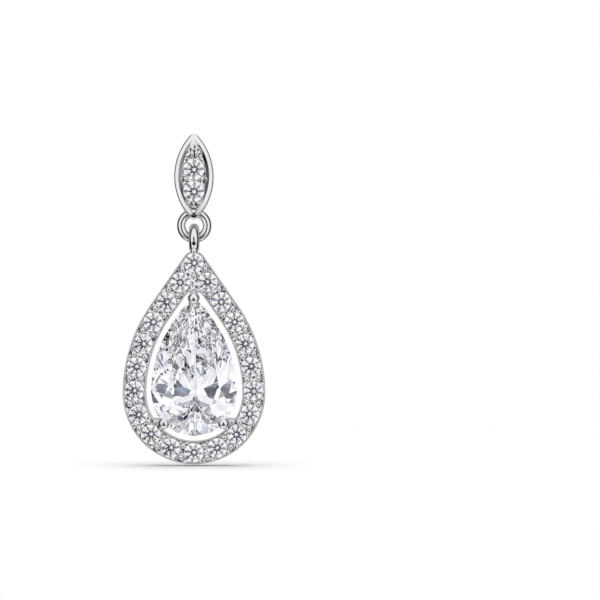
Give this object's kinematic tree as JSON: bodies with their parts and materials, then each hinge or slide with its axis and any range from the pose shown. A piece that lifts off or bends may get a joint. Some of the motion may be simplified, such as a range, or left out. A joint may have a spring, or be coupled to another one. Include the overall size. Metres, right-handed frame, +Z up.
{
  "type": "teardrop drop earring",
  "caption": "Drop earring: a marquise stud with two round stones and a ring, from which a teardrop halo of round stones swings with a pear-cut stone held inside.",
  "frame": {"origin": "where the ear post leaves the flat back of the marquise stud, at the stud's centre", "axes": "+Z up along the earring's length, the front faces -Y, +Y backwards along the ear post, +X to the viewer's right"},
  "size_m": [0.0116, 0.013, 0.027],
  "materials": {
    "silver": "polished white metal, rhodium plated",
    "crystal": "clear faceted cubic zirconia, polished"
  },
  "bodies": {
    "stud": {"stud_setting": "silver", "ear_post": "silver", "stud_stone_upper": "crystal", "stud_stone_lower": "crystal"},
    "drop": {"drop_setting": "silver", "pear_stone": "crystal", "halo_stone_01": "crystal", "halo_stone_02": "crystal", "halo_stone_03": "crystal", "halo_stone_04": "crystal", "halo_stone_05": "crystal", "halo_stone_06": "crystal", "halo_stone_07": "crystal", "halo_stone_08": "crystal", "halo_stone_09": "crystal", "halo_stone_10": "crystal", "halo_stone_11": "crystal", "halo_stone_12": "crystal", "halo_stone_13": "crystal", "halo_stone_14": "crystal", "halo_stone_15": "crystal", "halo_stone_16": "crystal", "halo_stone_17": "crystal", "halo_stone_18": "crystal", "halo_stone_19": "crystal", "halo_stone_20": "crystal"}
  },
  "joints": [
    {"name": "drop_swing", "type": "hinge", "parent": "stud", "child": "drop", "pos_m": [0, -0.0004, -0.00505], "axis": [1, 0, 0], "range_deg": [-90, 90]}
  ]
}
